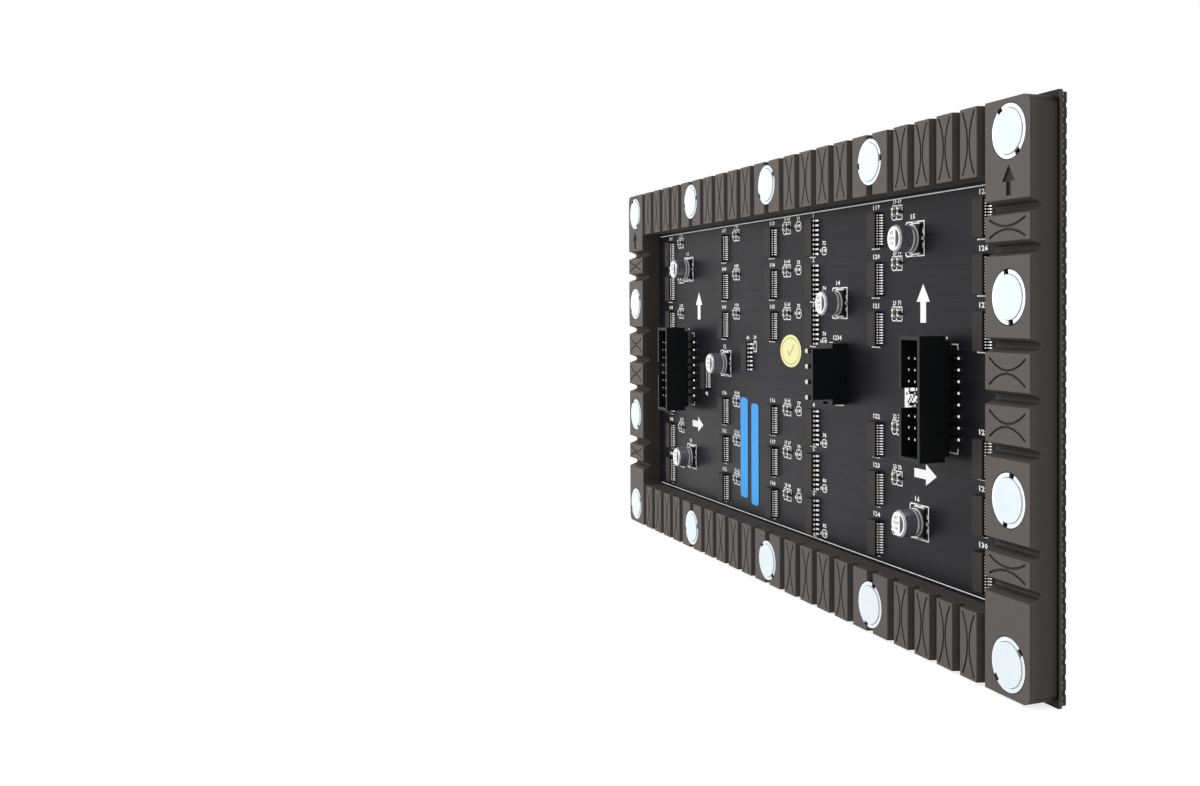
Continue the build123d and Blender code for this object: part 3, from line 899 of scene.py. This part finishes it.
# Headers: painted highlights as bright plates on the post tips, and solder at the feet
header = dict(centres=(-80.5, 75.9), z=-1.95, rows=8, pitch=2.54, postTop=8.85, tip=0.32, tipHeight=0.05,
              foot=5.25, solder=0.5, solderHeight=0.62)
tipHighlightMesh = bmesh.new()
solderMesh = bmesh.new()
for x in header["centres"]:
    for row in range(header["rows"]):
        z = header["z"] + (row - (header["rows"] - 1) / 2) * header["pitch"]
        for side in (-1, 1):
            tipX = x + side * header["pitch"] / 2
            addBlock(tipHighlightMesh, tipX, z, header["tip"], header["tip"],
                     header["postTop"], header["postTop"] + header["tipHeight"])
            addDome(solderMesh, x + side * header["foot"], z, header["solder"], header["solderHeight"])
finishPiece("postTips", tipHighlightMesh, "solderAndTipHighlight")
finishPiece("footSolder", solderMesh, "solderAndTipHighlight")
print("headers finished")


# White print on the board
ink = dict(low=0.0, high=0.025, line=0.3, thin=0.24)
layout = dict(longReach=103.0, longLines=((43.8, 0.25), (-43.8, 0.18)),  # z and width of each long line
              canFrame=4.1, canFrameCut=0.45, canArc=4.05, canFrameInner=0.925,
              headerReach=(4.63, 5.0), headerTop=9.95, headerFoot=-14.0,
              upArrows=(-71.05, 66.5),
              sideArrows=((-67.2, -72.2, -76.7), (72.7, 67.6, 63.2)),  # tail, head and tip of each
              slotPlace=(-30.9, -6.26), slotSize=(2.6, 0.65), slotRadius=0.3, slotLow=4.2, slotHigh=4.22,
              squarePlace=(-63.3, -0.8), squareCell=0.62, squareColumns=10, squareRows=9, squareShare=0.58)
inkMesh = bmesh.new()
numberMesh = bmesh.new()


def inkPlate(points):
    addPlate(inkMesh, points, ink["low"], ink["high"])


def inkStroke(start, end, width=ink["line"]):
    addStroke(inkMesh, start, end, width, ink["low"], ink["high"])


def inkRing(x, z, width, height, radius, line=ink["line"]):
    outer = roundedOutline(x, z, width, height, radius)
    inner = roundedOutline(x, z, width - 2 * line, height - 2 * line, max(radius - line, 0.05))
    addRing(inkMesh, outer, inner, ink["low"], ink["high"])


def inkNumber(words, x, z, size, stretch=1.5):
    addNumber(numberMesh, words, x, z, size, ink["high"], stretch)


# long lines beside the frame
for z, width in layout["longLines"]:
    inkStroke((layout["longReach"], z), (-layout["longReach"], z), width)

# round each chip: a number above it (X, Z, size), and strokes below it (start, end, width)
chipMarks = dict(
    driver=dict(places=driverPlaces, first=101, number=(0.1, 5.5, 1.15),
                strokes=(((2.2, -4.52), (-1.8, -4.58), 0.3), ((-1.65, -4.58), (-1.5, -3.8), 0.25))),
    row=dict(places=rowPlaces, first=1, number=(-0.2, 6.0, 1.1),
             strokes=(((2.0, -5.2), (-1.6, -5.3), 0.35),)))
for mark in chipMarks.values():
    offsetX, offsetZ, size = mark["number"]
    for index, (x, z) in enumerate(mark["places"]):
        inkNumber(str(index + mark["first"]), x + offsetX, z + offsetZ, size)
        for start, end, width in mark["strokes"]:
            inkStroke((x + start[0], z + start[1]), (x + end[0], z + end[1]), width)
inkNumber("41", chip["logic"][0], chip["logic"][1] + 5.6, 1.1)
inkNumber("42", chip["decoder"][0], chip["decoder"][1] - 5.8, 1.1)

# round outlines for the capacitors, square open ones for the resistors
for number, (x, z) in enumerate(driverCapacitors):
    inkRing(x + 0.25, z - 0.2, 2.4, 3.7, 0.95, ink["thin"])
    inkNumber(str(number + 1) + " " + str(number + 51), x - 1.1, z + 2.3, 1.0, 1.25)
for x, z in driverResistors:
    left, right, low, high = x + 1.6, x - 0.8, z - 1.9, z + 1.4
    for level in (low, high):
        inkStroke((left + 0.12, level), (right - 0.12, level), ink["thin"])
    for edge in (left, right):
        inkStroke((edge, low), (edge, z - 0.6), ink["thin"])
        inkStroke((edge, high), (edge, z + 0.1), ink["thin"])
for number, (x, z) in enumerate(rowCapacitors):
    larger = number % 2 == 0
    inkRing(x, z - 0.1, 3.4 if larger else 3.0, 2.7 if larger else 2.2, 1.05, ink["thin"])
    inkNumber(str(number + 71), x, z + 1.95, 1.0)
inkRing(logicCapacitor[0] + 0.1, logicCapacitor[1] - 0.1, 2.4, 3.5, 0.95, 0.3)
inkNumber("29", logicCapacitor[0] + 0.2, logicCapacitor[1] + 2.6, 1.0)

# outlines, filled segments and numbers round the capacitors
for number, (x, z) in enumerate(canPlaces):
    half, cut, shrink = layout["canFrame"], layout["canFrameCut"], layout["canFrameInner"]
    outer = [(x - half, z - half), (x + half - cut, z - half), (x + half, z - half + cut),
             (x + half, z + half - cut), (x + half - cut, z + half), (x - half, z + half)]
    inner = [(x + (px - x) * shrink, z + (pz - z) * shrink) for px, pz in outer]
    addRing(inkMesh, outer, inner, ink["low"], ink["high"])
    inkPlate(arcPoints(x, z, layout["canArc"], 38, 142, 10))
    inkPlate(arcPoints(x, z, layout["canArc"], 218, 322, 10))
    inkPlate(arcPoints(x, z, layout["canArc"], 142, 164, 4) + [(x - 3.1, z + 1.12)])
    inkPlate(arcPoints(x, z, layout["canArc"], 196, 218, 4) + [(x - 3.1, z - 1.12)])
    inkNumber(str(number + 11), x + 1.0, z + 5.15, 1.15)

# header corners and dots
top, foot = layout["headerTop"], layout["headerFoot"]
for x, out in zip(header["centres"], layout["headerReach"]):
    for side in (-1, 1):
        edge = x + side * out
        inkStroke((edge - side * 2.4, top), (edge + side * 0.15, top))
        inkStroke((edge, top), (edge, 8.75))
        inkStroke((edge - side * 3.5, foot), (edge + side * 0.15, foot))
        inkStroke((edge, foot), (edge, -12.9))
    inkPlate(ovalOutline(x - 0.3, 11.3, 0.7, 0.6, 12))

# arrows
for x in layout["upArrows"]:
    inkPlate([(x - 1.2, 14.6), (x + 1.2, 14.6), (x + 1.2, 19.4), (x + 2.8, 19.4),
              (x, 23.5), (x - 2.8, 19.4), (x - 1.2, 19.4)])
for tail, head, tip in layout["sideArrows"]:
    inkPlate([(tail, -19.1), (tail, -21.2), (head, -21.2), (head, -22.6),
              (tip, -20.1), (head, -17.7), (head, -19.1)])

# painted shade: a flat dark plate on the foot of the power connector stands in for the shaded hollow of its
# moulded slot
slotShadeMesh = bmesh.new()
addPlate(slotShadeMesh, roundedOutline(*layout["slotPlace"], *layout["slotSize"], layout["slotRadius"]),
         layout["slotLow"], layout["slotHigh"])
finishPiece("powerSlot", slotShadeMesh, "hollowShade")

# pin numbers above the power connector and marks beside it
inkNumber("1234", -29.5, 10.35, 1.2)
inkStroke((-25.2, 9.0), (-27.2, 9.05), 0.3)
inkStroke((-28.4, -7.1), (-33.1, -6.95), 0.42)

# a block of random squares beside the header at negative X
random.seed(7)
cell = layout["squareCell"]
squareX, squareZ = layout["squarePlace"]
for column in range(layout["squareColumns"]):
    for row in range(layout["squareRows"]):
        edge = column == 0 or row == layout["squareRows"] - 1
        if edge or random.random() < layout["squareShare"]:
            addBlock(inkMesh, squareX - column * cell, squareZ - row * cell, cell * 1.02, cell * 1.02,
                     ink["low"], ink["high"])
finishPiece("boardPrint", inkMesh, "whitePrint")
finishPiece("boardNumbers", numberMesh, "whitePrint", flat=True)

# ring and tick on the oval label
ringMesh = bmesh.new()
addRing(ringMesh, ovalOutline(-2.3, 6.15, 11.2, 7.6), ovalOutline(-2.3, 6.15, 10.8, 7.2), 0.12, 0.14)
addStroke(ringMesh, (-0.3, 6.2), (-1.6, 4.9), 0.35, 0.12, 0.14)
addStroke(ringMesh, (-1.5, 4.9), (-4.6, 7.9), 0.35, 0.12, 0.14)
finishPiece("ovalRing", ringMesh, "ringInk")
print("print laid down")


# Stage, lights and camera
stage = dict(floor=(205, 205, 205), floorRough=0.9, floorReach=8, lift=0.78, worldStrength=0.44)
softBox = dict(power=8.6, size=0.9, place=(0.22, 0.84, 0.24))
frontFill = dict(strength=1.3, angle=60, fromSide=(-0.05, -0.97, 0.25))
floorData = bpy.data.meshes.new("floor")
floorLevel = solidBounds[0][2]
far = stage["floorReach"]
floorData.from_pydata([(-far, -far, floorLevel), (far, -far, floorLevel), (far, far, floorLevel),
                       (-far, far, floorLevel)], [], [(0, 1, 2, 3)])
floorObject = addToScene("floor", floorData)
floorMaterial = bpy.data.materials.new("paleFloor")
floorMaterial.use_nodes = True
floorTree = floorMaterial.node_tree
floorShader = floorTree.nodes["Principled BSDF"]
floorShader.inputs["Base Color"].default_value = toLinear(*stage["floor"])
floorShader.inputs["Roughness"].default_value = stage["floorRough"]
floorShader.inputs["Emission Color"].default_value = (1, 1, 1, 1)
floorPath = floorTree.nodes.new("ShaderNodeLightPath")
floorSeen = mathNode(floorTree.nodes.new, "MAXIMUM")
floorLift = mathNode(floorTree.nodes.new, "MULTIPLY", stage["lift"])
floorTree.links.new(floorPath.outputs["Is Camera Ray"], floorSeen.inputs[0])
floorTree.links.new(floorPath.outputs["Is Glossy Ray"], floorSeen.inputs[1])
floorTree.links.new(floorSeen.outputs[0], floorLift.inputs[0])
floorTree.links.new(floorLift.outputs[0], floorShader.inputs["Emission Strength"])
floorData.materials.append(floorMaterial)

world = bpy.data.worlds.new("studio")
bpy.context.scene.world = world
world.use_nodes = True
worldTree = world.node_tree
worldTree.nodes.clear()
worldEnd = worldTree.nodes.new("ShaderNodeOutputWorld")
soft = worldTree.nodes.new("ShaderNodeBackground")
soft.inputs["Color"].default_value = (1, 1, 1, 1)
soft.inputs["Strength"].default_value = stage["worldStrength"]
bright = worldTree.nodes.new("ShaderNodeBackground")
bright.inputs["Color"].default_value = (1, 1, 1, 1)
bright.inputs["Strength"].default_value = 1.0
worldPath = worldTree.nodes.new("ShaderNodeLightPath")
seen = mathNode(worldTree.nodes.new, "MAXIMUM")
seenToo = mathNode(worldTree.nodes.new, "MAXIMUM")
worldMix = worldTree.nodes.new("ShaderNodeMixShader")
worldTree.links.new(worldPath.outputs["Is Camera Ray"], seen.inputs[0])
worldTree.links.new(worldPath.outputs["Is Glossy Ray"], seen.inputs[1])
worldTree.links.new(worldPath.outputs["Is Transmission Ray"], seenToo.inputs[1])
worldTree.links.new(seen.outputs[0], seenToo.inputs[0])
worldTree.links.new(seenToo.outputs[0], worldMix.inputs[0])
worldTree.links.new(soft.outputs[0], worldMix.inputs[1])
worldTree.links.new(bright.outputs[0], worldMix.inputs[2])
worldTree.links.new(worldMix.outputs[0], worldEnd.inputs["Surface"])

boxData = bpy.data.lights.new("softBox", "AREA")
boxData.energy = softBox["power"]
boxData.shape = "SQUARE"
boxData.size = softBox["size"]
box = addToScene("softBox", boxData)
box.location = softBox["place"]
box.rotation_euler = (-Vector(softBox["place"])).to_track_quat("-Z", "Y").to_euler()
fillData = bpy.data.lights.new("frontFill", "SUN")
fillData.energy = frontFill["strength"]
fillData.angle = math.radians(frontFill["angle"])
fill = addToScene("frontFill", fillData)
fill.rotation_euler = (-Vector(frontFill["fromSide"])).to_track_quat("-Z", "Y").to_euler()

view = dict(place=(-0.313915, 0.146095, 0.017615), turn=(1.552982, 0.003270, -1.981836),
            lens=37.1915, sensor=36, shiftX=-0.112825, shiftY=-0.050610, nearest=0.005)
cameraData = bpy.data.cameras.new("camera")
cameraData.lens = view["lens"]
cameraData.sensor_width = view["sensor"]
cameraData.sensor_fit = "HORIZONTAL"
cameraData.shift_x = view["shiftX"]
cameraData.shift_y = view["shiftY"]
cameraData.clip_start = view["nearest"]
camera = addToScene("camera", cameraData)
camera.location = view["place"]
camera.rotation_euler = view["turn"]
bpy.context.scene.camera = camera
bpy.context.scene.view_settings.view_transform = "Standard"
print("stage set")
